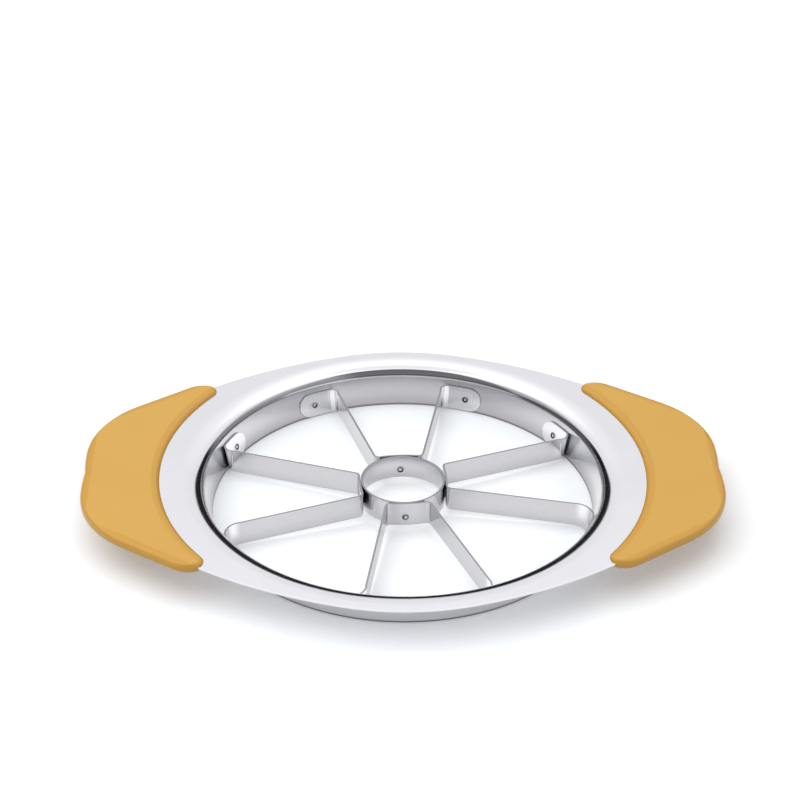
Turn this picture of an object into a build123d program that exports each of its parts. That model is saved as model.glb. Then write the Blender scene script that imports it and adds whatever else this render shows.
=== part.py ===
from build123d import *
import os
from math import acos, asin, atan2, ceil, cos, degrees, hypot, pi, radians, sin, sqrt, tan

# Apple wedger: a pressed steel plate with a drawn collar, four bent blade strips that are
# welded between the collar and a core ring, and two moulded grips over the plate's ends.
# Millimetres. Z is up, X runs along the grips, and the collar's foot stands on Z = 0.

# Pressed frame
SHEET = 0.6                # thickness of the pressed steel sheet
PLATE_TOP = 10.6           # height of the plate's upper face
FOOT_RADIUS = 48.15        # inside of the collar at its foot
COLLAR_DRAFT = 13.0        # lean of the collar's wall, in degrees from upright
SHOULDER_RADIUS = 3.5      # tight bend between the collar and the dished border
DISH_RADIUS = 16.0         # gentle bend of the dished border
DISH_ANGLE = 12.0          # slope of the dished border where the shoulder begins
FOOT_BEVEL = 0.25          # ground bevel round the foot
BORDER = 2.21              # flat strip beside the dish, at the plate's widest
CROWN_RADIUS = 58.0        # outline across the plate's middle
CROWN_ANGLE = 15.0         # half of the angle that the crown arc covers
FLANK_RADIUS = 115.0       # outline from the crown to the plate's ends
END_CORNER = 6.0           # corner of each end tongue
PLATE_EDGE = 0.15          # broken edge round the plate's top

# Moulded grips
GRIP_MARGIN = 5.21         # from the dish to the grip's inner edge
GRIP_REACH = 19.15         # from the grip's inner edge to its outer end
GRIP_THICKNESS = 2.7
GRIP_TOP_ROUND = 1.25
GRIP_UNDER_BEVEL = 0.7
TIP_RADIUS = 2.5           # round end of each horn
TIP_ANGLE = 36.9           # direction of a horn's round end, seen from the centre
HORN_RADIUS = 7.0          # from a horn's round end into the flank
FLANK_SLOPE = 35.0         # slope of the grip's straight flank, in degrees
FLANK_MARGIN = 3.35        # flank's distance from the centre, beyond the grip's inner edge
CORNER_RADIUS = 27.0       # from the flank into the outer end
LOBE_RADIUS = 70.0         # each of the two lobes of the outer end
LOBE_RISE = 7.0            # from the notch to the middle of a lobe
NOTCH_RADIUS = 0.8         # bottom of the notch between the lobes
END_WALL = 3.9             # plastic beyond the tongue's end
POCKET_CLEARANCE = 0.03    # between the grip and the plate, on each face
ANCHOR_RADIUS = 2.5        # holes that the plastic flows through
ANCHOR_SPREAD = 17.0       # from the middle anchor to each outer one, along Y
ANCHOR_INSET = 9.0         # from the tongue's end to the anchors

# Core ring
RING_RADIUS = 10.68        # outside
RING_WALL = 0.5
RING_HEIGHT = 6.4
RING_LIFT = 1.7            # height of the ring's lower edge
RING_BEVEL = 0.35
RING_BEVEL_HEIGHT = 0.9

# Blade strips
STRIP_THICKNESS = 0.5
STRIP_HEIGHT = 6.4
STRIP_LIFT = 0.22          # height of the strip's lower edge at the collar
EDGE_LAND = 0.12           # width left on the ground cutting edge
EDGE_GRIND = 0.8           # height of the ground bevel
SEAT_GAP = 0.02            # between a strip and what it is welded to
PAD_BEND = 1.0             # inside radius of the bends at the core ring
TAB_ANGLE = 10.6           # arc of the collar that a tab follows
BEND_STEP_ANGLE = 12.0     # turn between sections in a bend
PAD_STEPS = 3              # sections along half a pad
TAB_STEPS = 4              # sections along a tab's straight part
TAB_END_STEPS = 5          # sections along a tab's round end
TAB_END_CUT = 80.0         # how far round its half circle a tab's end runs

PAD_REACH = 4.5            # from a pad's middle to the centre of the bend at its end
PAD_BOW = 30.0             # radius that the pad is bowed to, looser than the ring
TAB_BEND = 2.2             # inside radius of the bend at the collar

# The strips are bent and set by hand, so no two are quite alike. For each: the direction of its
# pad and its share of PAD_BOW, then for its two halves the share of PAD_REACH, the direction
# where the tab begins and the share of TAB_BEND
STRIPS = {
    "back": (92.0, 1.0, (1.22, 112.3, 0.55), (1.04, 73.7, 0.64)),
    "left": (184.2, 2.0, (1.18, 207.1, 1.59), (0.62, 157.6, 0.77)),
    "front": (272.0, 0.75, (1.18, 296.8, 0.41), (0.84, 252.4, 1.55)),
    "right": (2.0, 2.0, (1.22, 28.2, 0.77), (0.76, -18.0, 1.73)),
}

# Spot welds
WELD_RADIUS = 0.95
WELD_HEIGHT = 0.14
WELD_TOP_RADIUS = 0.7
WELD_ANGLE = 5.5           # from a strip's bend to its weld, in degrees of the collar
WELD_RISE = 2.5            # from the core ring's lower edge to a pad's weld
WELD_GAP = 0.01
WELD_SIDES = 12            # a mark is a low frustum with few sides, because it repeats

NEAR = 0.01                # how close a corner lies to the place that it is picked by

# The dish and shoulder follow from the foot, bend by bend
shoulder_slope = radians(90 - COLLAR_DRAFT)
dish_slope = radians(DISH_ANGLE)
dish_drop = DISH_RADIUS * (1 - cos(dish_slope))
shoulder_drop = SHOULDER_RADIUS * (cos(dish_slope) - cos(shoulder_slope))
wall_top = PLATE_TOP - dish_drop - shoulder_drop
wall_top_radius = FOOT_RADIUS + wall_top * tan(radians(COLLAR_DRAFT))
shoulder_outer = wall_top_radius + SHOULDER_RADIUS * (sin(shoulder_slope) - sin(dish_slope))
dish_outer = shoulder_outer + DISH_RADIUS * sin(dish_slope)

plate_half_width = dish_outer + BORDER
grip_inner = dish_outer + GRIP_MARGIN
half_length = grip_inner + GRIP_REACH
tongue_end = half_length - END_WALL
plate_middle = PLATE_TOP - SHEET / 2
anchor_x = tongue_end - ANCHOR_INSET


def polar(radius, angle):
    """A point at a radius and an angle in degrees."""
    return (radius * cos(radians(angle)), radius * sin(radians(angle)))


def band_side(offset):
    """The pressed sheet's section from the plate to the foot, moved into the sheet by offset."""
    dish_centre = (dish_outer, PLATE_TOP - DISH_RADIUS)
    shoulder_centre = (
        shoulder_outer + SHOULDER_RADIUS * sin(dish_slope),
        PLATE_TOP - dish_drop - SHOULDER_RADIUS * cos(dish_slope),
    )

    def on(centre, radius, slope):
        return (centre[0] - radius * sin(slope), centre[1] + radius * cos(slope))

    dish_r, shoulder_r = DISH_RADIUS - offset, SHOULDER_RADIUS - offset
    top = on(dish_centre, dish_r, 0)
    dish_mid = on(dish_centre, dish_r, dish_slope / 2)
    dish_end = on(dish_centre, dish_r, dish_slope)
    bend_mid = on(shoulder_centre, shoulder_r, (dish_slope + shoulder_slope) / 2)
    bend_end = on(shoulder_centre, shoulder_r, shoulder_slope)
    foot = (bend_end[0] - bend_end[1] / tan(shoulder_slope), 0)
    return top, dish_mid, dish_end, bend_mid, bend_end, foot


def collar():
    """The dished border, shoulder and leaning wall, turned round the bore."""
    inside, outside = band_side(0), band_side(SHEET)
    bevel_top = (outside[5][0] + FOOT_BEVEL / tan(shoulder_slope), FOOT_BEVEL)
    bevel_foot = (outside[5][0] - FOOT_BEVEL, 0)
    with BuildSketch(Plane.XZ) as section:
        with BuildLine():
            ThreePointArc(inside[0], inside[1], inside[2])
            ThreePointArc(inside[2], inside[3], inside[4])
            Polyline(inside[4], inside[5], bevel_foot, bevel_top, outside[4])
            ThreePointArc(outside[4], outside[3], outside[2])
            ThreePointArc(outside[2], outside[1], outside[0])
            Line(outside[0], inside[0])
        make_face()
    return revolve(section.sketch, Axis.Z)


def lens_face():
    """The plate's outline: a crown and two long flanks on each side, cut off at the ends."""
    crown_centre = plate_half_width - CROWN_RADIUS
    crown_end = polar(CROWN_RADIUS, 90 - CROWN_ANGLE)
    reach = FLANK_RADIUS - CROWN_RADIUS
    flank_centre = (
        crown_end[0] - FLANK_RADIUS * sin(radians(CROWN_ANGLE)),
        crown_centre - reach * cos(radians(CROWN_ANGLE)),
    )
    end_slope = asin((tongue_end - flank_centre[0]) / FLANK_RADIUS)
    end_y = flank_centre[1] + FLANK_RADIUS * cos(end_slope)
    with BuildSketch() as face:
        with BuildLine() as line:
            CenterArc((0, crown_centre), CROWN_RADIUS, 90 - CROWN_ANGLE, 2 * CROWN_ANGLE)
            flank = CenterArc(
                flank_centre, FLANK_RADIUS, 90 - degrees(end_slope), degrees(end_slope) - CROWN_ANGLE
            )
            mirror(flank, about=Plane.YZ)
            mirror(line.edges(), about=Plane.XZ)
            Line((tongue_end, end_y), (tongue_end, -end_y))
            Line((-tongue_end, end_y), (-tongue_end, -end_y))
        make_face()
        corners = [v for v in face.vertices() if abs(abs(v.X) - tongue_end) < NEAR]
        fillet(corners, END_CORNER)
    return face.sketch


def anchor_places():
    """Centres of one tongue's anchor holes, at +X."""
    return [(anchor_x, y) for y in (-ANCHOR_SPREAD, 0, ANCHOR_SPREAD)]


def pressed_frame():
    """Plate, dish, shoulder and collar: one pressing."""
    outline = lens_face()
    plate = extrude(Plane.XY.offset(PLATE_TOP - SHEET) * outline, SHEET)
    plate -= Pos(0, 0, plate_middle) * Cylinder(dish_outer, 2 * SHEET)
    rim = [
        e for e in plate.edges().group_by(Axis.Z)[-1]
        if hypot(e.center().X, e.center().Y) > dish_outer - SHEET and e.length < 4 * dish_outer
    ]
    plate = chamfer(rim, PLATE_EDGE)
    for side in (-1, 1):
        for x, y in anchor_places():
            plate -= Pos(side * x, y, plate_middle) * Cylinder(ANCHOR_RADIUS, 2 * SHEET)
    return plate + collar()


def grip_face():
    """The grip's outline at +X: concave inner edge, round horns, straight flanks and two lobes."""
    normal = 90 - FLANK_SLOPE
    flank = grip_inner + FLANK_MARGIN

    def beside_flank(centre, reach, radius):
        """Direction at which a step of reach from a centre comes within radius of the flank."""
        along = centre[0] * cos(radians(normal)) + centre[1] * sin(radians(normal))
        return degrees(acos((flank - radius - along) / reach))

    def step(centre, radius, angle):
        x, y = polar(radius, angle)
        return (centre[0] + x, centre[1] + y)

    tip = polar(grip_inner + TIP_RADIUS, TIP_ANGLE)
    horn_angle = normal + beside_flank(tip, TIP_RADIUS - HORN_RADIUS, HORN_RADIUS)
    horn = step(tip, TIP_RADIUS - HORN_RADIUS, horn_angle)
    lobe = (half_length - LOBE_RADIUS, LOBE_RISE)
    corner_angle = normal - beside_flank(lobe, LOBE_RADIUS - CORNER_RADIUS, CORNER_RADIUS)
    corner = step(lobe, LOBE_RADIUS - CORNER_RADIUS, corner_angle)
    notch_angle = -degrees(asin(LOBE_RISE / LOBE_RADIUS))

    def arc(centre, radius, start, end):
        angles = (start, (start + end) / 2, end)
        return ThreePointArc(*(step(centre, radius, angle) for angle in angles))

    with BuildSketch() as face:
        with BuildLine() as line:
            arc(tip, TIP_RADIUS, TIP_ANGLE + 180, horn_angle)
            arc(horn, HORN_RADIUS, horn_angle, normal)
            Line(step(horn, HORN_RADIUS, normal), step(corner, CORNER_RADIUS, normal))
            arc(corner, CORNER_RADIUS, normal, corner_angle)
            arc(lobe, LOBE_RADIUS, corner_angle, notch_angle)
            mirror(line.edges(), about=Plane.XZ)
            arc((0, 0), grip_inner, TIP_ANGLE, -TIP_ANGLE)
        make_face()
        notch = [v for v in face.vertices() if abs(v.Y) < NEAR and v.X > tongue_end]
        fillet(notch, NOTCH_RADIUS)
    return face.sketch


def grip_right():
    """A grip with rounded edges, a pocket for the tongue and plugs in its anchor holes."""
    low = plate_middle - GRIP_THICKNESS / 2
    body = extrude(Plane.XY.offset(low) * grip_face(), GRIP_THICKNESS)
    body = fillet(body.edges().group_by(Axis.Z)[-1], GRIP_TOP_ROUND)
    body = chamfer(body.edges().group_by(Axis.Z)[0], GRIP_UNDER_BEVEL)
    room = SHEET + 2 * POCKET_CLEARANCE
    widened = offset(lens_face(), POCKET_CLEARANCE)
    body -= extrude(Plane.XY.offset(plate_middle - room / 2) * widened, room)
    plug = Cylinder(ANCHOR_RADIUS - POCKET_CLEARANCE, room)
    for x, y in anchor_places():
        body += Pos(x, y, plate_middle) * plug
    return body


def core_ring():
    """The tube that cuts out the core, ground sharp inside its lower edge."""
    inner, top = RING_RADIUS - RING_WALL, RING_LIFT + RING_HEIGHT
    with BuildSketch(Plane.XZ) as section:
        with BuildLine():
            Polyline(
                (inner, top), (RING_RADIUS, top), (RING_RADIUS, RING_LIFT),
                (inner + RING_BEVEL, RING_LIFT), (inner, RING_LIFT + RING_BEVEL_HEIGHT), (inner, top),
            )
        make_face()
    return revolve(section.sketch, Axis.Z)


# The strips' middle line at the lower edge, where it meets the collar and the core ring
tab_radius = (
    FOOT_RADIUS + STRIP_LIFT * tan(radians(COLLAR_DRAFT))
    - (STRIP_THICKNESS / 2 + SEAT_GAP) / cos(radians(COLLAR_DRAFT))
)
pad_radius = RING_RADIUS + SEAT_GAP + STRIP_THICKNESS / 2


def spoke_half(pad_angle, bow_share, half, turn):
    """Stations along half a strip, from the pad's middle to the tab's round end.

    Each is (x, y, heading, lean, share): heading in radians, lean the outward tilt in degrees,
    share what is left of the strip's height in a tab's round end. turn is +1 where the half
    leaves the pad anticlockwise, and it is worked out as such with the pad's middle on +X.
    """
    reach_share, wall_angle, bend_share = half
    away = (turn * (wall_angle - pad_angle) + 180) % 360 - 180
    bow, pad_reach = PAD_BOW * bow_share, PAD_REACH * reach_share
    pad_turn = PAD_BEND + STRIP_THICKNESS / 2
    wall_turn = TAB_BEND * bend_share + STRIP_THICKNESS / 2
    bow_centre = pad_radius - bow
    pad_end = asin(pad_reach / (bow + pad_turn))
    first = (bow_centre + (bow + pad_turn) * cos(pad_end), pad_reach)
    second = polar(tab_radius - wall_turn, away)
    # the spoke touches both bends, with the first bend's centre on its right
    # and the second's on its left
    dx, dy = second[0] - first[0], second[1] - first[1]
    heading = atan2(dy, dx) - asin((pad_turn + wall_turn) / hypot(dx, dy))
    stations = []
    for i in range(PAD_STEPS + 1):
        angle = pad_end * i / PAD_STEPS
        stations.append((bow_centre + bow * cos(angle), bow * sin(angle), angle + pi / 2, 0, 1))
    start = pad_end + pi / 2
    steps = ceil(degrees(start - heading) / BEND_STEP_ANGLE)
    for i in range(1, steps + 1):
        h = start + (heading - start) * i / steps
        stations.append((first[0] - pad_turn * sin(h), first[1] + pad_turn * cos(h), h, 0, 1))
    end = radians(away) + pi / 2
    steps = ceil(degrees(end - heading) / BEND_STEP_ANGLE)
    for i in range(steps + 1):
        h = heading + (end - heading) * i / steps
        x, y = second[0] + wall_turn * sin(h), second[1] - wall_turn * cos(h)
        stations.append((x, y, h, COLLAR_DRAFT * i / steps, 1))
    round_end = degrees(STRIP_HEIGHT / 2 / tab_radius)
    straight = TAB_ANGLE - round_end
    for i in range(1, TAB_STEPS + 1):
        angle = away + straight * i / TAB_STEPS
        stations.append((*polar(tab_radius, angle), radians(angle + 90), COLLAR_DRAFT, 1))
    for i in range(1, TAB_END_STEPS + 1):
        along = sin(radians(TAB_END_CUT) * i / TAB_END_STEPS)
        angle = away + straight + round_end * along
        share = sqrt(1 - along ** 2)
        stations.append((*polar(tab_radius, angle), radians(angle + 90), COLLAR_DRAFT, share))
    c, s = cos(radians(pad_angle)), sin(radians(pad_angle))
    return [
        (c * x - s * turn * y, s * x + c * turn * y, turn * h + radians(pad_angle), lean, share)
        for x, y, h, lean, share in stations
    ]


def strip_section(x, y, heading, lean, share, turn):
    """The strip's cross-section at one station, upright or leaning out with the collar."""
    outwards = Vector(sin(heading), -cos(heading), 0) * turn
    up = Vector(0, 0, 1) * cos(radians(lean)) + outwards * sin(radians(lean))
    across = outwards * cos(radians(lean)) - Vector(0, 0, 1) * sin(radians(lean))
    slope = (RING_LIFT - STRIP_LIFT) / (tab_radius - pad_radius)
    base = Vector(x, y, STRIP_LIFT + slope * (tab_radius - min(hypot(x, y), tab_radius)))
    missing = STRIP_HEIGHT * (1 - share) / 2
    grind = min(EDGE_GRIND, STRIP_HEIGHT * share / 3)
    half, land = STRIP_THICKNESS / 2, EDGE_LAND / 2
    corners = [
        (-land, missing), (land, missing), (half, missing + grind),
        (half, STRIP_HEIGHT - missing), (-half, STRIP_HEIGHT - missing), (-half, missing + grind),
    ]
    return Wire.make_polygon([base + across * n + up * u for n, u in corners], close=True)


def blade_strip(pad_angle, bow_share, far_half, near_half):
    """One strip: tab, spoke, pad on the ring, spoke and tab, lofted along its bent middle line."""
    far = spoke_half(pad_angle, bow_share, far_half, 1)
    near = spoke_half(pad_angle, bow_share, near_half, -1)
    wires = [strip_section(*s, 1) for s in reversed(far)]
    wires += [strip_section(*s, -1) for s in near[1:]]
    return Solid.make_loft(wires, ruled=True)


def weld_button(place):
    """The mark of one spot weld: a low button on the sheet."""
    rings = ((WELD_RADIUS, 0), (WELD_TOP_RADIUS, WELD_HEIGHT))
    wires = [Pos(0, 0, z) * RegularPolygon(radius, WELD_SIDES).wire() for radius, z in rings]
    return place * Solid.make_loft(wires, ruled=True)


def wall_spot_welds():
    """One weld on the inner face of each tab, half way up."""
    marks = []
    lean = radians(COLLAR_DRAFT)
    for _, _, far_half, near_half in STRIPS.values():
        for half, turn in ((far_half, 1), (near_half, -1)):
            angle = half[1] + turn * WELD_ANGLE
            outwards = Vector(*polar(1, angle), 0)
            up = Vector(0, 0, cos(lean)) + outwards * sin(lean)
            inwards = Vector(0, 0, sin(lean)) - outwards * cos(lean)
            foot = Vector(*polar(tab_radius, angle), STRIP_LIFT)
            bow = WELD_RADIUS ** 2 / (2 * tab_radius)
            seat = foot + up * (STRIP_HEIGHT / 2) + inwards * (STRIP_THICKNESS / 2 + bow + WELD_GAP)
            marks.append(weld_button(Plane(origin=seat, x_dir=up, z_dir=inwards)))
    return Compound(children=marks)


def core_spot_welds():
    """Both marks of each weld between a pad and the core ring: outside the pad and inside the ring."""
    marks = []
    for pad_angle, _, _, _ in STRIPS.values():
        outwards = Vector(*polar(1, pad_angle), 0)
        outer = pad_radius + STRIP_THICKNESS / 2 + WELD_GAP
        inner = RING_RADIUS - RING_WALL
        inner_seat = sqrt(inner ** 2 - WELD_RADIUS ** 2) - WELD_GAP
        height = Vector(0, 0, RING_LIFT + WELD_RISE)
        up = Vector(0, 0, 1)
        marks.append(weld_button(Plane(origin=outwards * outer + height, x_dir=up, z_dir=outwards)))
        marks.append(weld_button(Plane(origin=outwards * inner_seat + height, x_dir=up, z_dir=-outwards)))
    return Compound(children=marks)


def main():
    os.makedirs("parts", exist_ok=True)
    right = grip_right()
    nodes = {
        "pressed_frame": pressed_frame(),
        "core_ring": core_ring(),
        "grip_right": right,
        "grip_left": mirror(right, about=Plane.YZ),
        "wall_spot_welds": wall_spot_welds(),
        "core_spot_welds": core_spot_welds(),
    }
    for name, angles in STRIPS.items():
        nodes[f"blade_strip_{name}"] = blade_strip(*angles)
    for name, shape in nodes.items():
        export_step(shape, f"parts/{name}.step")
        print(name, "volume", round(sum(s.volume for s in shape.solids()), 1))


main()
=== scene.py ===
# %% [markdown]
# # An apple wedger in pressed steel with two moulded grips
# The measured model of the wedger comes from CAD as a fixed frame: a dished plate with a drawn
# collar, four bent blade strips, a core ring, two grips and the marks of the spot welds. This
# lesson gives each of them its real finish. Bright metal shows every flaw of a mesh in its
# reflections, so the pressing, the ring and the strips get cleaner meshes here, on the
# same lines as the CAD solids.

# %% Load the frame
import math

import bpy
from mathutils import Matrix, Vector


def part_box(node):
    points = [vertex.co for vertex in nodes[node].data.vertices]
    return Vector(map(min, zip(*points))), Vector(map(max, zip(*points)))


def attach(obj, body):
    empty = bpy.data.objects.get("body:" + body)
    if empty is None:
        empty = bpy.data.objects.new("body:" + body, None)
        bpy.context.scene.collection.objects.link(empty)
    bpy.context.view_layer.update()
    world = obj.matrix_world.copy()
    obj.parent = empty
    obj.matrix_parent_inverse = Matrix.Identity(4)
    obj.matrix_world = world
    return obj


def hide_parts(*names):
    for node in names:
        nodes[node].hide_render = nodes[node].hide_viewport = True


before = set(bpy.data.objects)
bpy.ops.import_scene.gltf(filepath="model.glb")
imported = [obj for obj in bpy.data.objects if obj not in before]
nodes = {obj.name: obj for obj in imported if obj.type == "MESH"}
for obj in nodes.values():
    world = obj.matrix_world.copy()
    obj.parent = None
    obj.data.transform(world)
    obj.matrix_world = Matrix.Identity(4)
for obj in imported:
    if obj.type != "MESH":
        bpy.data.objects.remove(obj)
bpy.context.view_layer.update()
scene = bpy.context.scene
print("nodes:", sorted(nodes))

# %% [markdown]
# ## Camera
# The wedger lies on a table and is seen from the front, a little over 30 degrees from above. The
# lens is long and stands well back, so the far side looks hardly smaller than the near side.
# A camera is a matrix: its own +X is the picture's right, +Y its up, and it looks along -Z.

# %% Place the camera
CAMERA_TURN = math.radians(1.7)       # the camera goes round by this, so the wedger looks turned
CAMERA_DROP = math.radians(32.16)     # how steeply it looks down
CAMERA_ROLL = math.radians(-0.45)
CAMERA_PLACE = Vector((-0.00013, -0.495, 0.342))       # before it goes round
SENSOR_WIDTH = 36                     # mm
FOCAL_IN_WIDTHS = 2364.21 / 806       # the focal length, as a share of the picture's width

turn = Matrix.Rotation(-CAMERA_TURN, 3, "Z")
forward = turn @ Vector((0, math.cos(CAMERA_DROP), -math.sin(CAMERA_DROP)))
right = turn @ Vector((1, 0, 0))
up = turn @ Vector((0, math.sin(CAMERA_DROP), math.cos(CAMERA_DROP)))
rolled_right = right * math.cos(CAMERA_ROLL) - up * math.sin(CAMERA_ROLL)
rolled_up = right * math.sin(CAMERA_ROLL) + up * math.cos(CAMERA_ROLL)
camera = bpy.data.objects.new("camera", bpy.data.cameras.new("camera"))
scene.collection.objects.link(camera)
axes = Matrix((rolled_right, rolled_up, -forward)).transposed()
camera.matrix_world = Matrix.Translation(turn @ CAMERA_PLACE) @ axes.to_4x4()
camera.data.sensor_width = SENSOR_WIDTH
camera.data.lens = SENSOR_WIDTH * FOCAL_IN_WIDTHS
camera.data.clip_start, camera.data.clip_end = 0.01, 20
scene.camera = camera
scene.view_settings.view_transform = "Standard"
print("lens", round(camera.data.lens, 1), "mm")

# %% [markdown]
# ## Tools for the meshes
# Everything in edit mode acts on what is selected, so a helper that works on one piece first
# selects that piece alone. Faces and edges are then picked in code, by where they are.

# %% Small mesh helpers
MM = 0.001
MERGE_WITHIN = 0.000002                # metres, for corners that should be one


def clear_selection():
    if bpy.context.object and bpy.context.object.mode != "OBJECT":
        bpy.ops.object.mode_set(mode="OBJECT")
    bpy.ops.object.select_all(action="DESELECT")


def only(piece):
    """Select one object and make it active."""
    clear_selection()
    piece.select_set(True)
    bpy.context.view_layer.objects.active = piece


def settle(piece):
    """Write a piece's place, turn and scale into its mesh."""
    only(piece)
    bpy.ops.object.transform_apply(location=True, rotation=True, scale=True)


def outward(piece):
    """Merge doubles and turn the normals outwards."""
    only(piece)
    bpy.ops.object.mode_set(mode="EDIT")
    bpy.ops.mesh.select_all(action="SELECT")
    bpy.ops.mesh.remove_doubles(threshold=MERGE_WITHIN)
    bpy.ops.mesh.normals_make_consistent(inside=False)
    bpy.ops.object.mode_set(mode="OBJECT")


def apply_all(piece):
    only(piece)
    for modifier in list(piece.modifiers):
        bpy.ops.object.modifier_apply(modifier=modifier.name)


def smooth(piece, degrees):
    """Shade smooth, and keep edges sharp that turn by more than an angle."""
    only(piece)
    bpy.ops.object.shade_smooth_by_angle(angle=math.radians(degrees))


def weigh_normals(piece):
    """Let the larger faces decide the shading at a shared corner."""
    piece.modifiers.new("weighted normals", "WEIGHTED_NORMAL").keep_sharp = True
    apply_all(piece)


def break_rims(piece, width, degrees):
    """A small bevel, in mm, on all edges that turn by more than an angle."""
    rims = piece.modifiers.new("broken rims", "BEVEL")
    rims.width, rims.segments = width * MM, 2
    rims.limit_method, rims.angle_limit = "ANGLE", math.radians(degrees)
    apply_all(piece)


def report(piece):
    low = [round(min(v.co[i] for v in piece.data.vertices) / MM, 2) for i in range(3)]
    high = [round(max(v.co[i] for v in piece.data.vertices) / MM, 2) for i in range(3)]
    print(piece.name, len(piece.data.polygons), "faces, from", low, "to", high, "mm")


# %% [markdown]
# ## The pressed plate and its collar
# The real part starts as a flat blank. A press draws its middle down into a collar, which leaves
# a dished border, a tight shoulder and a wall that leans in. Turned parts are easiest from a
# circle: it is extruded and resized ring by ring down the section. The outline, which isn't
# round, is drawn with the spin tool as a compass, and a bridge joins the two.

# %% The section of the pressing, ring by ring
SHEET = 0.6
PLATE_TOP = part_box("pressed_frame")[1].z / MM
FOOT_RADIUS = 48.15
DRAFT = math.radians(13)
SHOULDER_RADIUS, DISH_RADIUS, DISH_SLOPE = 3.5, 16.0, math.radians(12)
DISH_STEPS, SHOULDER_STEPS, WALL_STEPS = 10, 14, 6
SPARE_END = 1                          # a spare millimetre of wall, trimmed later
ROUND_STEPS = 256

wall_slope = math.pi / 2 - DRAFT
dish_drop = DISH_RADIUS * (1 - math.cos(DISH_SLOPE))
shoulder_drop = SHOULDER_RADIUS * (math.cos(DISH_SLOPE) - math.cos(wall_slope))
wall_top = PLATE_TOP - dish_drop - shoulder_drop
wall_top_radius = FOOT_RADIUS + wall_top * math.tan(DRAFT)
shoulder_outer = wall_top_radius + SHOULDER_RADIUS * (math.sin(wall_slope) - math.sin(DISH_SLOPE))
dish_outer = shoulder_outer + DISH_RADIUS * math.sin(DISH_SLOPE)

section = []
for i in range(DISH_STEPS + 1):
    slope = DISH_SLOPE * i / DISH_STEPS
    section.append((
        dish_outer - DISH_RADIUS * math.sin(slope),
        PLATE_TOP - DISH_RADIUS * (1 - math.cos(slope)),
    ))
for i in range(1, SHOULDER_STEPS + 1):
    slope = DISH_SLOPE + (wall_slope - DISH_SLOPE) * i / SHOULDER_STEPS
    section.append((
        shoulder_outer + SHOULDER_RADIUS * (math.sin(DISH_SLOPE) - math.sin(slope)),
        PLATE_TOP - dish_drop - SHOULDER_RADIUS * (math.cos(DISH_SLOPE) - math.cos(slope)),
    ))
for i in range(1, WALL_STEPS + 1):
    z = wall_top * (1 - i / WALL_STEPS)
    section.append((FOOT_RADIUS + z * math.tan(DRAFT), z))
section.append((FOOT_RADIUS - SPARE_END * math.tan(DRAFT), -SPARE_END))
print("section of", len(section), "rings, dish out to", round(dish_outer, 2), "mm")


# %% Draw the collar down from a circle
def extrude_through(rings):
    """Extrude the selected circle and resize it, from ring to ring of a section."""
    for before, after in zip(rings, rings[1:]):
        bpy.ops.mesh.extrude_region_move(
            TRANSFORM_OT_translate={"value": (0, 0, (after[1] - before[1]) * MM)}
        )
        share = after[0] / before[0]
        bpy.ops.transform.resize(value=(share, share, 1), center_override=(0, 0, 0))


def turned_sheet(name, rings):
    """A circle at the first ring, drawn through the others."""
    clear_selection()
    radius, z = rings[0]
    bpy.ops.mesh.primitive_circle_add(
        vertices=ROUND_STEPS, radius=radius * MM, location=(0, 0, z * MM)
    )
    piece = bpy.context.object
    piece.name = name
    settle(piece)
    bpy.ops.object.mode_set(mode="EDIT")
    bpy.ops.mesh.select_all(action="SELECT")
    extrude_through(rings)
    bpy.ops.object.mode_set(mode="OBJECT")
    return piece


frame_sheet = turned_sheet("pressed_frame_sheet", section)
report(frame_sheet)

# %% [markdown]
# The outline is a crown arc over the middle, a long, flatter arc that meets it without a kink, a
# round corner and the straight end that is hidden in a grip. One point set on the crown and spun
# round each arc's centre draws a quarter of it, and a mirror across both axes closes the loop. The
# quarter has a quarter of the circle's points, so that the bridge joins them one to one. A bridge
# tells which way round its loops run from how they face each other, which it can't see in two
# loops of one plane. So the outline floats above the plate until the bridge is made.

# %% Draw the plate's outline with the spin tool
CROWN_RADIUS, CROWN_ANGLE, FLANK_RADIUS = 58.0, math.radians(15), 115.0
TONGUE_END, END_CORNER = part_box("pressed_frame")[1].x / MM, 6.0
FLOAT = 20.0                           # how far the outline waits above the plate
CLOSE = 0.01                           # mm, for points that count as level or as one
CROWN_STEPS, FLANK_STEPS, CORNER_STEPS = 12, 40, 6
END_STEPS = ROUND_STEPS // 4 - CROWN_STEPS - FLANK_STEPS - CORNER_STEPS
half_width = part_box("pressed_frame")[1].y / MM
crown_centre = half_width - CROWN_RADIUS
flank_x = -(FLANK_RADIUS - CROWN_RADIUS) * math.sin(CROWN_ANGLE)
flank_y = crown_centre - (FLANK_RADIUS - CROWN_RADIUS) * math.cos(CROWN_ANGLE)
corner_x = TONGUE_END - END_CORNER
corner_angle = math.asin((corner_x - flank_x) / (FLANK_RADIUS - END_CORNER))
corner_y = flank_y + (FLANK_RADIUS - END_CORNER) * math.cos(corner_angle)


def spin_point(x, y, angle, steps):
    """Draw an arc: spin the selected point round a centre, clockwise as seen from above."""
    bpy.ops.mesh.spin(steps=steps, angle=angle, center=(x * MM, y * MM, 0), axis=(0, 0, 1))


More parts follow.
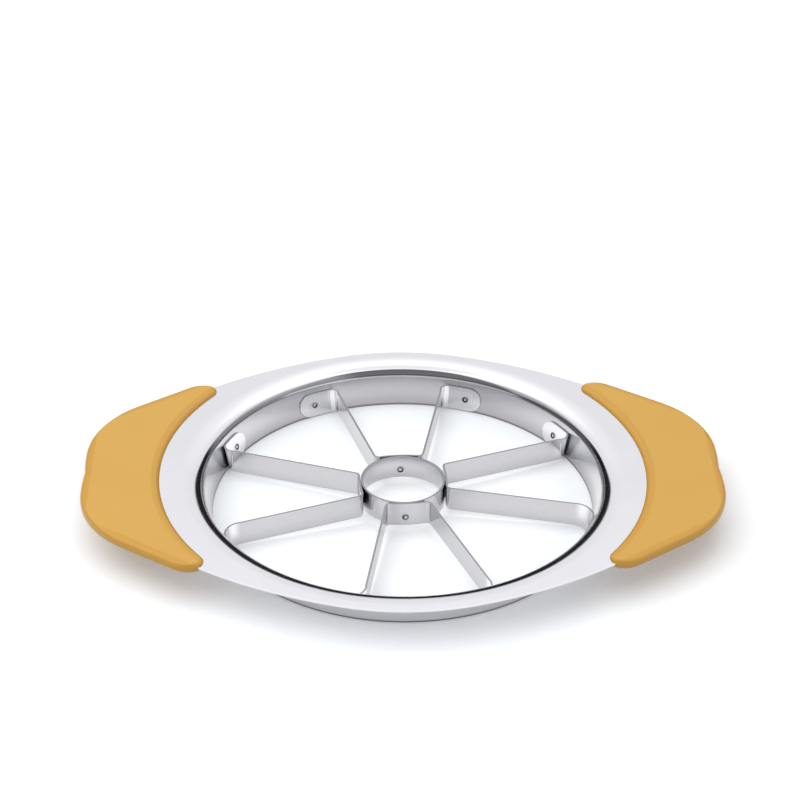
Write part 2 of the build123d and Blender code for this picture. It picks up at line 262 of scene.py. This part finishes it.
def outline_loop():
    """The plate's closed outline, floating above its upper face."""
    clear_selection()
    bpy.ops.mesh.primitive_plane_add(size=MM)
    quarter = bpy.context.object
    bpy.ops.object.mode_set(mode="EDIT")
    bpy.ops.mesh.select_mode(type="VERT")
    bpy.ops.mesh.merge(type="CENTER")
    bpy.ops.transform.translate(value=(0, half_width * MM, (PLATE_TOP + FLOAT) * MM))
    spin_point(0, crown_centre, CROWN_ANGLE, CROWN_STEPS)
    spin_point(flank_x, flank_y, corner_angle - CROWN_ANGLE, FLANK_STEPS)
    spin_point(corner_x, corner_y, math.pi / 2 - corner_angle, CORNER_STEPS)
    for _ in range(END_STEPS):
        move = {"value": (0, -corner_y / END_STEPS * MM, 0)}
        bpy.ops.mesh.extrude_region_move(TRANSFORM_OT_translate=move)
    bpy.ops.object.mode_set(mode="OBJECT")
    mirror = quarter.modifiers.new("four quarters", "MIRROR")
    mirror.use_axis = (True, True, False)
    mirror.merge_threshold = CLOSE * MM
    apply_all(quarter)
    print("outline has", len(quarter.data.vertices), "points")
    return quarter


def open_edges(piece, test):
    """Select the open edges whose two ends pass a test, and nothing else."""
    bpy.ops.object.mode_set(mode="OBJECT")
    mesh = piece.data
    uses = {}
    for face in mesh.polygons:
        for key in face.edge_keys:
            uses[key] = uses.get(key, 0) + 1
    for group in (mesh.polygons, mesh.edges, mesh.vertices):
        for item in group:
            item.select = False
    picked = 0
    for edge in mesh.edges:
        ends = [mesh.vertices[i].co / MM for i in edge.vertices]
        edge.select = uses.get(edge.key, 0) < 2 and all(test(co) for co in ends)
        picked += edge.select
    bpy.ops.object.mode_set(mode="EDIT")
    bpy.ops.mesh.select_mode(type="EDGE")
    return picked


loop = outline_loop()
only(frame_sheet)
loop.select_set(True)
bpy.ops.object.join()
picked = open_edges(frame_sheet, lambda co: co.z > PLATE_TOP - CLOSE)
bpy.ops.mesh.bridge_edge_loops()
open_edges(frame_sheet, lambda co: co.z > PLATE_TOP + CLOSE)
bpy.ops.transform.translate(value=(0, 0, -FLOAT * MM))
bpy.ops.object.mode_set(mode="OBJECT")
smallest = min(face.area for face in frame_sheet.data.polygons)
print("bridged", picked, "edges, smallest face", round(smallest / MM ** 2, 3), "mm2")
report(frame_sheet)

# %% [markdown]
# The drawn surface has no thickness yet. Solidify gives it the sheet's 0.6 mm downwards and
# outwards. The spare end of the wall is cut off level with the table and closed by one more
# bridge, and a small bevel breaks the sharp rims, as the press tool and the polishing do.
# Weighted normals let the large flat faces decide the shading, so the border mirrors as flat.

# %% Thicken, trim the foot and break the rims
PLATE_RIM = 0.12                       # mm that the bevel takes off a sharp rim
outward(frame_sheet)
if frame_sheet.data.polygons[0].normal.z < 0:
    frame_sheet.data.flip_normals()
thicken = frame_sheet.modifiers.new("sheet thickness", "SOLIDIFY")
thicken.thickness, thicken.offset, thicken.use_even_offset = SHEET * MM, -1, True
apply_all(frame_sheet)
report(frame_sheet)

bpy.ops.object.mode_set(mode="EDIT")
bpy.ops.mesh.select_all(action="SELECT")
bpy.ops.mesh.bisect(plane_co=(0, 0, 0), plane_no=(0, 0, 1), clear_inner=True)
picked = open_edges(frame_sheet, lambda co: co.z < CLOSE)
bpy.ops.mesh.bridge_edge_loops()
outward(frame_sheet)
print("closed the foot over", picked, "edges")

break_rims(frame_sheet, PLATE_RIM, 50)
smooth(frame_sheet, 40)
weigh_normals(frame_sheet)
report(frame_sheet)

# %% [markdown]
# ## The core ring
# The ring that cuts out the core is a short, thin tube with its lower edge ground sharp from the
# inside. It is turned in the same way, all round its section, and closed by a bridge.

# %% Turn the core ring
RING_RADIUS, RING_WALL, RING_LIFT, RING_HEIGHT = 10.68, 0.5, 1.7, 6.4
GRIND_HEIGHT, GRIND_DEPTH = 0.9, 0.35  # the ground slope inside the lower edge
RING_HALFWAY = 5.0                     # one more row of faces at this height
RING_RIM = 0.05
ring_inner, ring_top = RING_RADIUS - RING_WALL, RING_LIFT + RING_HEIGHT
ring_section = [
    (ring_inner, ring_top), (ring_inner, RING_HALFWAY), (ring_inner, RING_LIFT + GRIND_HEIGHT),
    (ring_inner + GRIND_DEPTH, RING_LIFT), (RING_RADIUS, RING_LIFT),
    (RING_RADIUS, RING_HALFWAY), (RING_RADIUS, ring_top),
]
core_ring = turned_sheet("core_ring_bright", ring_section)
open_edges(core_ring, lambda co: True)
bpy.ops.mesh.bridge_edge_loops()
bpy.ops.object.mode_set(mode="OBJECT")
outward(core_ring)
break_rims(core_ring, RING_RIM, 60)
smooth(core_ring, 30)
report(core_ring)

# %% [markdown]
# ## The blade strips
# The strips' shape is right in the CAD model, where each is bent station by station. Its mesh is
# loose triangles, though, and flat ones, which a bright blade would show as stripes. A copy is
# merged into one skin, its triangles are paired, and only edges of over 25 degrees stay sharp.


# %% Merge and smooth a copy of a CAD piece
CAD_MERGE_WITHIN = 0.000004            # metres
PAIR_FLAT, PAIR_SHAPE = math.radians(12), math.radians(60)


def bright_copy(node, name, degrees):
    """A CAD node's mesh as one skin, with normals of its own and no material."""
    clear_selection()
    piece = nodes[node].copy()
    piece.data = nodes[node].data.copy()
    piece.name = name
    for key in list(piece.keys()):
        del piece[key]
    piece.parent = None
    scene.collection.objects.link(piece)
    piece.data.materials.clear()
    only(piece)
    if piece.data.has_custom_normals:
        bpy.ops.mesh.customdata_custom_splitnormals_clear()
    bpy.ops.object.mode_set(mode="EDIT")
    bpy.ops.mesh.select_all(action="SELECT")
    bpy.ops.mesh.remove_doubles(threshold=CAD_MERGE_WITHIN)
    bpy.ops.mesh.tris_convert_to_quads(face_threshold=PAIR_FLAT, shape_threshold=PAIR_SHAPE)
    bpy.ops.mesh.normals_make_consistent(inside=False)
    bpy.ops.object.mode_set(mode="OBJECT")
    smooth(piece, degrees)
    weigh_normals(piece)
    report(piece)
    return piece


strips = {}
for side in ("back", "left", "front", "right"):
    node = f"blade_strip_{side}"
    strips[node] = bright_copy(node, f"blade_{side}_bright", 25)

# %% [markdown]
# ## The weld marks
# A spot weld leaves a small ring-shaped ridge with a dent in its middle. One mark is turned from a
# circle and copied to all sixteen places. The CAD model has a plain button at each, so every
# button's own centre and direction say where its mark goes.

# %% Model one weld mark, lying on the XY plane
MARK_STEPS = 28
mark_rings = [                         # radius and height in mm, from the rim to the middle
    (0.95, 0.0), (0.93, 0.07), (0.84, 0.13), (0.72, 0.14), (0.6, 0.1), (0.48, 0.05),
    (0.34, 0.035), (0.2, 0.06), (0.08, 0.085),
]
mark_radius = mark_rings[0][0] * MM
clear_selection()
bpy.ops.mesh.primitive_circle_add(vertices=MARK_STEPS, radius=mark_radius, fill_type="NGON")
mark = bpy.context.object
mark.name = "weld_mark"
bpy.ops.object.mode_set(mode="EDIT")
bpy.ops.mesh.select_all(action="SELECT")
extrude_through(mark_rings)
bpy.ops.mesh.select_all(action="SELECT")
bpy.ops.mesh.normals_make_consistent(inside=False)
bpy.ops.object.mode_set(mode="OBJECT")
smooth(mark, 50)
rim_share = mark.data.attributes.new("rim_share", "FLOAT", "POINT")
for vertex, value in zip(mark.data.vertices, rim_share.data):
    value.value = vertex.co.xy.length / mark_radius
report(mark)


# %% [markdown]
# A button of the CAD model is widest where it sits on the steel. So the points that are farthest
# from its middle lie on its seat, and the way from there to its other points is outwards.

# %% Copy the mark to every button of the CAD model
SEAT_SHARE = 0.93      # points beyond this share of a button's reach lie on its seat
MARK_SPIN = 1.9        # radians that each copy is turned further than the last


def button_places(node):
    """Centre of the seated face and outward direction of each button in a CAD node."""
    piece = bright_copy(node, "buttons", 30)
    only(piece)
    bpy.ops.object.mode_set(mode="EDIT")
    bpy.ops.mesh.select_all(action="SELECT")
    bpy.ops.mesh.separate(type="LOOSE")
    bpy.ops.object.mode_set(mode="OBJECT")
    places = []
    for button in list(bpy.context.selected_objects):
        points = [v.co.copy() for v in button.data.vertices]
        middle = sum(points, Vector()) / len(points)
        far = max((p - middle).length for p in points)
        seat = [p for p in points if (p - middle).length > far * SEAT_SHARE]
        seat_middle = sum(seat, Vector()) / len(seat)
        top = [p for p in points if (p - middle).length <= far * SEAT_SHARE]
        top_middle = sum(top, Vector()) / len(top)
        places.append((seat_middle, (top_middle - seat_middle).normalized()))
        bpy.data.objects.remove(button)
    return places


def weld_marks(node, name):
    """One piece of marks, seated where a CAD node has its buttons."""
    copies = []
    for number, (place, direction) in enumerate(button_places(node)):
        copy = mark.copy()
        copy.data = mark.data.copy()
        scene.collection.objects.link(copy)
        facing = direction.to_track_quat("Z", "Y").to_matrix()
        spun = facing @ Matrix.Rotation(number * MARK_SPIN, 3, "Z")
        copy.matrix_world = Matrix.Translation(place) @ spun.to_4x4()
        copies.append(copy)
    clear_selection()
    for copy in copies:
        copy.select_set(True)
    bpy.context.view_layer.objects.active = copies[0]
    bpy.ops.object.join()
    joined = bpy.context.object
    joined.name = name
    settle(joined)
    report(joined)
    return joined


wall_marks = weld_marks("wall_spot_welds", "wall_weld_marks")
core_marks = weld_marks("core_spot_welds", "core_weld_marks")
bpy.data.objects.remove(mark)

# %% [markdown]
# ## Materials
# Shader maths reads best as maths. A small class wraps a socket, so that an expression such as
# `1 - mask * 0.3` adds the Math nodes that it needs.


# %% A socket that can be used in expressions
class Wire:
    """An output socket, with the operators that the finishes below use."""

    def __init__(self, shading, socket):
        self.shading, self.socket = shading, socket

    def join(self, operation, other, swapped=False):
        pair = (other, self) if swapped else (self, other)
        return self.shading.node(
            "ShaderNodeMath", {"operation": operation}, {0: pair[0], 1: pair[1]}
        )

    def __add__(self, other): return self.join("ADD", other)
    def __radd__(self, other): return self.join("ADD", other, True)
    def __sub__(self, other): return self.join("SUBTRACT", other)
    def __rsub__(self, other): return self.join("SUBTRACT", other, True)
    def __mul__(self, other): return self.join("MULTIPLY", other)
    def __rmul__(self, other): return self.join("MULTIPLY", other, True)

    def least(self, other): return self.join("MINIMUM", other)
    def size(self): return self.join("ABSOLUTE", 0)
    def root(self): return self.join("SQRT", 0)

    def ramp(self, low, high):
        """0 below low, 1 above high, and a soft step between."""
        return self.shading.node(
            "ShaderNodeMapRange", {"interpolation_type": "SMOOTHSTEP"},
            {"Value": self, "From Min": low, "From Max": high}
        )


class Shading:
    """A node tree, of a material or of the world."""

    def __init__(self, owner):
        owner.use_nodes = True
        self.nodes, self.links = owner.node_tree.nodes, owner.node_tree.links

    def put(self, socket, value):
        if isinstance(value, Wire):
            self.links.new(value.socket, socket)
        else:
            socket.default_value = value

    def node(self, kind, settings, sockets, output=0):
        """Add a node: its settings come first, then the values or links of its sockets."""
        node = self.nodes.new(kind)
        for name, value in settings.items():
            setattr(node, name, value)
        for key, value in sockets.items():
            self.put(node.inputs[key], value)
        return Wire(self, node.outputs[output])

    def place(self, kind="Object"):
        return self.node("ShaderNodeTexCoord", {}, {}, kind)

    def part(self, vector, axis):
        return self.node("ShaderNodeSeparateXYZ", {}, {0: vector}, axis)

    def ray(self, kind):
        return self.node("ShaderNodeLightPath", {}, {}, kind)

    def noise(self, scale, detail=2, roughness=0.5, vector=None):
        return self.node(
            "ShaderNodeTexNoise", {},
            {"Vector": vector or self.place(), "Scale": scale, "Detail": detail,
             "Roughness": roughness}
        )

    def blend(self, share, first, second):
        """The first colour where the share is 0 and the second where it is 1."""
        return self.node(
            "ShaderNodeMix", {"data_type": "RGBA"}, {0: share, 6: first, 7: second}, 2
        )

    def bump(self, height, distance, strength):
        return self.node(
            "ShaderNodeBump", {}, {"Height": height, "Distance": distance, "Strength": strength}
        )


class Finish(Shading):
    """One material, with the values that don't change set on its Principled shader."""

    def __init__(self, name, **values):
        self.material = bpy.data.materials.new(name)
        super().__init__(self.material)
        self.shader = self.nodes["Principled BSDF"]
        for socket, value in values.items():
            self.shader.inputs[socket.replace("_", " ")].default_value = value

    def use(self, **values):
        for socket, value in values.items():
            self.put(self.shader.inputs[socket.replace("_", " ")], value)
        print(self.material.name, "made with", len(self.nodes), "nodes")
        return self.material


# %% [markdown]
# The pressing is satin-polished stainless steel: it mirrors the room softly. Polishing leaves
# faint cloudy differences in gloss and a very fine grain, which noise gives at two scales. The
# inside of the collar looks duller than the plate, so it gets a rougher steel, and painted shade
# makes its colour darker, darkest at the foot. Tight bends and rims mirror the dark corners of a
# room as thin lines. Only part of that is left to the studio here: a painted dark reflection on
# the steep of the shoulder and painted contact shade in a rim at the foot are part of the steel's
# colour, so that these dark lines also show from behind and in other light.
# A point is on the inside where its normal and its place point opposite ways, and how steep it is
# there is read from the normal's height, which is 0.76 on a slope of 40 degrees and 0.24 on one
# of 76.

# %% Satin-polished steel
POLISHED = (0.71, 0.71, 0.75, 1), (0.77, 0.77, 0.81, 1)      # from cloud to cloud
INNER_WALL_SHADE = (0.41, 0.41, 0.435, 1), (0.7, 0.7, 0.73, 1)     # painted shade, at the foot and above
# the first is painted contact shade at the foot, the second a painted dark reflection
FOOT_SHADE, SHOULDER_REFLECTION = (0.2, 0.2, 0.21, 1), (0.09, 0.09, 0.1, 1)
BAND_SHARE = 0.6                       # how much of the painted dark reflection covers the bright steel
GRADED_TO = 6 * MM                     # above this height the inner wall's painted shade stays the same
RIM_HEIGHTS = 0.3 * MM, 0.8 * MM       # from the painted shade at the foot to the wall above it
SLOPE_TOP, SLOPE_FOOT = (0.6, 0.76), (0.24, 0.4)       # the normal's height at the painted band's ends
WALL_INSIDE, BEND_INSIDE = (0.03, 0.045), (0.01, 0.03)     # radius times the normal's inward share
WALL_TOP_Z = wall_top * MM
pressing = Finish("satin polished steel", Metallic=1.0)
clouds = pressing.noise(90, 3)
grain = pressing.noise(5200, 2, 0.6)
spot, normal = pressing.place(), pressing.place("Normal")
inwards = 0 - (
    pressing.part(spot, "X") * pressing.part(normal, "X")
    + pressing.part(spot, "Y") * pressing.part(normal, "Y")
)
height, up_share = pressing.part(spot, "Z"), pressing.part(normal, "Z")
# rougher steel inside the collar, with painted shade in its colour
dull_and_shaded_inside = inwards.ramp(*WALL_INSIDE) * (1 - height.ramp(WALL_TOP_Z, WALL_TOP_Z + MM))
# a painted dark reflection on the steep of the shoulder
steep = (1 - up_share.ramp(*SLOPE_TOP)) * up_share.ramp(*SLOPE_FOOT)
band = steep * inwards.ramp(*BEND_INSIDE) * BAND_SHARE
# painted shade on the collar's inside, darkest at the foot
shaded_inner_wall = pressing.blend(height.ramp(0, GRADED_TO), *INNER_WALL_SHADE)
walled = pressing.blend(dull_and_shaded_inside, pressing.blend(clouds, *POLISHED), shaded_inner_wall)
# painted contact shade in a rim at the foot
walled = pressing.blend(height.ramp(*RIM_HEIGHTS), FOOT_SHADE, walled)
pressed_steel = pressing.use(
    Base_Color=pressing.blend(band, walled, SHOULDER_REFLECTION),
    Roughness=0.07 + clouds * 0.03 + dull_and_shaded_inside * 0.12,
    Normal=pressing.bump(grain, 0.000002, 0.25),
)

# %% [markdown]
# The blades are cold-rolled strip. Their faces are bright with a long fine grain, and their top
# edges, where the strip was slit, are duller and darker. The normal tells the two apart: it
# points up only on the edges. The tabs look brighter than the blades, above all high up, so a
# painted reflection gives them a lighter colour there.

# %% Rolled blade steel
ROLLED = (0.55, 0.55, 0.575, 1), (0.645, 0.645, 0.675, 1)    # from line to line of the grain
# the first colour is a painted reflection on the tabs
TAB_REFLECTION, SLIT_EDGE = (0.9, 0.9, 0.93, 1), (0.36, 0.36, 0.38, 1)
GRAIN_SCALE = (400, 400, 5200)         # long lines, close above each other
TAB_RADII = 43.5 * MM, 46 * MM         # from the middle, between blade and tab
TAB_HEIGHTS = 1 * MM, 5 * MM           # the painted reflection on the tabs grows over this height
EDGE_UP = 0.8, 0.95                    # the normal's height, from the faces to a slit edge
rolled = Finish("rolled blade steel", Metallic=1.0)
slit = rolled.part(rolled.place("Normal"), "Z").ramp(*EDGE_UP)
stretch = rolled.node(
    "ShaderNodeMapping", {}, {"Vector": rolled.place(), "Scale": GRAIN_SCALE}
)
lines = rolled.noise(1.0, 3, 0.6, stretch)
spot = rolled.place()
along, across, height = [rolled.part(spot, axis) for axis in "XYZ"]
on_tab = (along * along + across * across).root().ramp(*TAB_RADII)
# painted reflection: the tabs get lighter high up
painted_tab_reflection = on_tab * height.ramp(*TAB_HEIGHTS)
faces = rolled.blend(painted_tab_reflection, rolled.blend(lines, *ROLLED), TAB_REFLECTION)
blade_steel = rolled.use(
    Base_Color=rolled.blend(slit, faces, SLIT_EDGE),
    Roughness=0.16 + lines * 0.06 + slit * 0.25,
    Normal=rolled.bump(lines, 0.000002, 0.3),
)

# %% [markdown]
# The electrode presses a dent that stays bright, and the heat leaves a thin dark ring round it,
# darker on one side than on the other. Each mark's mesh carries how far out a point lies.

# %% Weld marks
DENT_STEEL, SCORCHED = (0.6, 0.6, 0.62, 1), (0.035, 0.035, 0.04, 1)
SCORCH_INNER, SCORCH_OUTER = (0.32, 0.46), (0.78, 0.92)      # shares of the mark's radius
welded = Finish("spot weld mark", Metallic=1.0)
out_share = welded.node("ShaderNodeAttribute", {"attribute_name": "rim_share"}, {}, "Fac")
specks = welded.noise(2600, 3, 0.7)
uneven = welded.noise(700, 1).ramp(0.35, 0.6)
ring = out_share.ramp(*SCORCH_INNER) * (1 - out_share.ramp(*SCORCH_OUTER))
scorch = ring * (0.5 + uneven * 0.5)
weld_steel = welded.use(
    Base_Color=welded.blend(scorch, DENT_STEEL, SCORCHED),
    Roughness=0.22 + specks * 0.2,
    Normal=welded.bump(specks, 0.00002, 0.4),
)

# %% [markdown]
# The grips are moulded in a warm ochre plastic. Their flat tops have a fine spark-eroded texture
# that scatters light and looks paler. A border of about two millimetres and the rounded edges are
# smooth, glossier and deeper in colour. How far a point is from the grip's edge follows from three
# distances: to the round inner edge, to the straight flank and to the outer end.

# %% Moulded grip plastic
FIELD = (0.69, 0.395, 0.088, 1), (0.73, 0.428, 0.102, 1)     # slightly uneven in tone
BORDER = (0.655, 0.345, 0.05, 1)
BORDER_WIDTH = 2.2 * MM
BORDER_IN, BORDER_OUT = 0.5 * MM, 0.3 * MM     # how far its edge blurs to either side
GRIP_TOP, GRIP_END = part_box("grip_right")[1].z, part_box("grip_right")[1].x
SETS_IN, IS_FULL = 0.22 * MM, 0.02 * MM        # the texture, in depth below the grip's top
GRIP_INNER = 61.13 * MM                # radius of the round inner edge
GRIP_FLANK = 64.48 * MM                # from the wedger's middle straight out to the flank
FLANK_NORMAL = math.radians(55)        # the way that the flank faces, from the grip's length
moulded = Finish("moulded ochre plastic")
spot = moulded.place()
along, across = moulded.part(spot, "X").size(), moulded.part(spot, "Y").size()
from_inner = (along * along + across * across).root() - GRIP_INNER
from_flank = GRIP_FLANK - (along * math.cos(FLANK_NORMAL) + across * math.sin(FLANK_NORMAL))
from_edge = from_inner.least(from_flank).least(GRIP_END - along)
on_top = moulded.part(spot, "Z").ramp(GRIP_TOP - SETS_IN, GRIP_TOP - IS_FULL)
textured = on_top * from_edge.ramp(BORDER_WIDTH - BORDER_IN, BORDER_WIDTH + BORDER_OUT)
tone = moulded.noise(60, 2)
grit = moulded.noise(4200, 2, 0.7)
grip_plastic = moulded.use(
    Base_Color=moulded.blend(textured, BORDER, moulded.blend(tone, *FIELD)),
    Roughness=0.3 + textured * 0.25,
    Normal=moulded.bump(grit * textured, 0.00003, 0.35),
)

# %% [markdown]
# ## Put the pieces together
# Each bright piece stands for its CAD node and rides on the one body. The grips are shown as the
# CAD model has them, with their new material.

# %% Finish and attach
pieces = [
    (frame_sheet, "pressed_frame", pressed_steel, "polished_steel"),
    (core_ring, "core_ring", blade_steel, "blade_steel"),
    (wall_marks, "wall_spot_welds", weld_steel, "weld_steel"),
    (core_marks, "core_spot_welds", weld_steel, "weld_steel"),
]
for node, strip in strips.items():
    pieces.append((strip, node, blade_steel, "blade_steel"))
for piece, node, material, slot in pieces:
    piece.data.materials.clear()
    piece.data.materials.append(material)
    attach(piece, "root")
    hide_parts(node)
for node in ("grip_left", "grip_right"):
    nodes[node].material_slots[0].material = grip_plastic
print(len(pieces), "pieces attached")

# %% [markdown]
# ## The studio
# The wedger lies on white paper. A Light Path node tells what kind of ray arrives at a surface, so
# the paper can be one thing as light for the object and another for the camera, which sees it
# with a faint glow that keeps its shadows pale. Along the inside of the collar there is less of
# that glow, a painted shade where the paper looks greyer, and far out the paper turns to plain
# white.

# %% Floor
PAPER_WHITE = (0.62, 0.64, 0.68, 1)    # what the paper sends back to the object as light
PAPER_MIRRORED = (1, 1, 1, 1)          # the paper as the bright metal sees it
PAPER_SEEN = (0.945, 0.972, 1, 1)      # the same for the camera, cooled against the grips' tint
PAPER_GLOW = 0.2                       # keeps the paper's own shadows pale for the camera
MIRRORED_GLOW = 0.78                   # how much of that the metal sees
WALL_SHADE = 0.75                      # painted shade: how much of the glow is left out along the collar's inside
WALL_RADII = 48.2 * MM, 48.8 * MM      # inside and outside of the collar's foot
SHADE_RADII = 30 * MM, 48 * MM         # the painted shade sets in and is full
FAR_OUT = 0.25, 0.5                    # metres from the middle, from paper to plain white
clear_selection()
bpy.ops.mesh.primitive_plane_add(size=6, location=(0, 0, 0))
floor = bpy.context.object
floor.name = "floor"
paper = bpy.data.materials.new("white paper")
floor.data.materials.append(paper)
sheet = Shading(paper)
sheet.nodes.remove(sheet.nodes["Principled BSDF"])


def matte(colour):
    return sheet.node("ShaderNodeBsdfDiffuse", {}, {"Color": colour})


camera_ray, glossy_ray = sheet.ray("Is Camera Ray"), sheet.ray("Is Glossy Ray")
clear_ray = sheet.ray("Is Transmission Ray")
spot = sheet.place()
along, across = sheet.part(spot, "X"), sheet.part(spot, "Y")
from_middle = (along * along + across * across).root()
# painted shade on the paper along the inside of the collar's foot
collar_shade_mask = from_middle.ramp(*SHADE_RADII) * (1 - from_middle.ramp(*WALL_RADII))
for_camera = camera_ray * (1 - collar_shade_mask * WALL_SHADE)
strength = (for_camera + glossy_ray * MIRRORED_GLOW) * PAPER_GLOW
glow = sheet.node("ShaderNodeEmission", {}, {"Strength": strength})
colour = sheet.blend(camera_ray, PAPER_MIRRORED, PAPER_SEEN)
seen = sheet.node("ShaderNodeAddShader", {}, {0: matte(colour), 1: glow})
shown = camera_ray + glossy_ray + clear_ray
backdrop = sheet.node("ShaderNodeEmission", {}, {"Strength": 1.0})
far_out = from_middle.ramp(*FAR_OUT)
seen = sheet.node("ShaderNodeMixShader", {}, {0: far_out, 1: seen, 2: backdrop})
mixed = sheet.node("ShaderNodeMixShader", {}, {0: shown, 1: matte(PAPER_WHITE), 2: seen})
sheet.put(sheet.nodes["Material Output"].inputs["Surface"], mixed)
print("floor", [round(side, 2) for side in floor.dimensions], "m")

# %% [markdown]
# One large soft lamp hangs above the wedger, a little to the left, so the shadows are soft and
# reach further on the right. The metal doesn't see it, because it has surroundings of its own.
# An area lamp spreads its watts over its own square, so they are worked out from how bright each
# part of it should look, and a larger lamp needs a lower level to light the object as much.

# %% Lamp overhead
LAMP_SIZE, LAMP_HEIGHT, LAMP_LEVEL = 1.7, 1.1, 1.5
LAMP_PLACE = (-0.4, -0.06, LAMP_HEIGHT)
lamp = bpy.data.lights.new("overhead lamp", "AREA")
lamp.size = LAMP_SIZE
lamp.energy = math.pi * LAMP_SIZE ** 2 * LAMP_LEVEL
lamp_object = bpy.data.objects.new("overhead lamp", lamp)
lamp_object.location = LAMP_PLACE
scene.collection.objects.link(lamp_object)
lamp_object.visible_camera = False
lamp_object.visible_glossy = False
print("lamp", round(lamp.energy, 1), "W")

# %% [markdown]
# A bright piece of metal is a picture of its surroundings, so the metal gets surroundings of its
# own: a pale wall behind the wedger that grows lighter upwards, and a dimmer room on the camera's
# side, lighter on the right. The front of the shoulder mirrors what lies below the wall's lower
# edge, so that edge sets how wide the dark line there is. It is lowest a little right of the
# middle, rises on both sides of that and falls again further out. Dull surfaces don't see any of
# this. They are lit by a plain grey sky, lighter at both sides, and by the lamp. Together these
# make a colour render about as it is written. Places below are parts of a ray's direction, from
# -1 to 1, and each pair says where one tone gives way to the next.

# %% Tones and places of the surroundings
SKY_LEVEL = 0.4                        # the sky that lights everything dull
SKY_EVEN, SKY_SIDES = 0.6, 1.6         # its share all round, and more on the left and right
WALL_LEVEL = 1.01                      # the pale wall, low down
WALL_RISE, WALL_CROWN = 0.1, 0.26      # how much lighter it is half way up, and higher
ZENITH_DROP = 0.27                     # straight overhead it is darker again
LOW_SPOT, LOWEST = 0.027, 0.3          # where the wall's lower edge is lowest, and how low
EDGE_STEP, EDGE_RISE, EDGE_FALL = 0.1, 0.06, 0.13      # how it changes away from that spot
ROOM_LEVEL = 0.02                      # the dark room
LEFT_LOW, RIGHT_LOW = 0.2, 0.62        # what lies low on either side
NEAR_LEVEL = 0.2                       # the camera's side
NEAR_PANEL = 0.2                       # a dim panel hung there at half height
NEAR_RIGHT = 0.45                      # and how much lighter it is on the right
TABLE_GLOW = 0.9                       # what lies low on the camera's side

TO_NEAR, TO_RIGHT, TO_BACK = (0.33, 0.42), (0.3, 0.6), (0.45, 0.7)
RISE_AT, CROWN_AT, ZENITH_AT = (0.52, 0.62), (0.62, 0.75), (0.93, 0.985)
TABLE_TOP, PANEL_FOOT, PANEL_TOP = (0.18, 0.26), (0.36, 0.46), (0.68, 0.8)
STEP_AT, RISE_OUT, FALL_OUT = (0, 0.04), (0.03, 0.12), (0.15, 0.6)     # beside the low spot
EDGE_SOFT = -0.02, 0.03                # across the wall's lower edge
print("the wall spans", round(WALL_LEVEL, 2), "to", round(WALL_LEVEL + WALL_RISE + WALL_CROWN, 2))

# %% [markdown]
# Sky and room are one world, and its strength depends on the kind of ray: glossy rays meet the
# wall and the room, the camera meets plain white, and all others meet the sky.

# %% World
world = bpy.data.worlds.new("studio")
scene.world = world
sky = Shading(world)
world.cycles.sampling_method = "NONE"
looking = sky.place("Generated")
across, away, height = [sky.part(looking, axis) for axis in "XYZ"]
nearside = (0 - away).ramp(*TO_NEAR)
rightside = across.ramp(*TO_RIGHT)
off_spot = (across - LOW_SPOT).size()
wall_edge = off_spot.ramp(*STEP_AT) * EDGE_STEP + off_spot.ramp(*RISE_OUT) * EDGE_RISE + LOWEST
wall_edge = wall_edge - off_spot.ramp(*FALL_OUT) * EDGE_FALL
raised = (height - wall_edge).ramp(*EDGE_SOFT)
wall = raised * WALL_LEVEL + height.ramp(*RISE_AT) * WALL_RISE
wall = wall + height.ramp(*CROWN_AT) * WALL_CROWN - height.ramp(*ZENITH_AT) * ZENITH_DROP
beside = (1 - raised) * (1 - away.ramp(*TO_BACK))
wall = wall + beside * (rightside * (RIGHT_LOW - LEFT_LOW) + LEFT_LOW)
near = rightside * NEAR_RIGHT + NEAR_LEVEL + (1 - height.ramp(*TABLE_TOP)) * TABLE_GLOW
near = near + height.ramp(*PANEL_FOOT) * (1 - height.ramp(*PANEL_TOP)) * NEAR_PANEL
mirrored = wall * (1 - nearside) + near * nearside + ROOM_LEVEL
camera_ray, glossy_ray = sky.ray("Is Camera Ray"), sky.ray("Is Glossy Ray")
lighting = (across * across * SKY_SIDES + SKY_EVEN) * SKY_LEVEL
level = lighting * (1 - glossy_ray) + mirrored * glossy_ray
level = level * (1 - camera_ray) + camera_ray
sky.put(sky.nodes["Background"].inputs["Strength"], level)
sky.put(sky.nodes["Background"].inputs["Color"], (1, 1, 1, 1))
print("world made with", len(sky.nodes), "nodes")
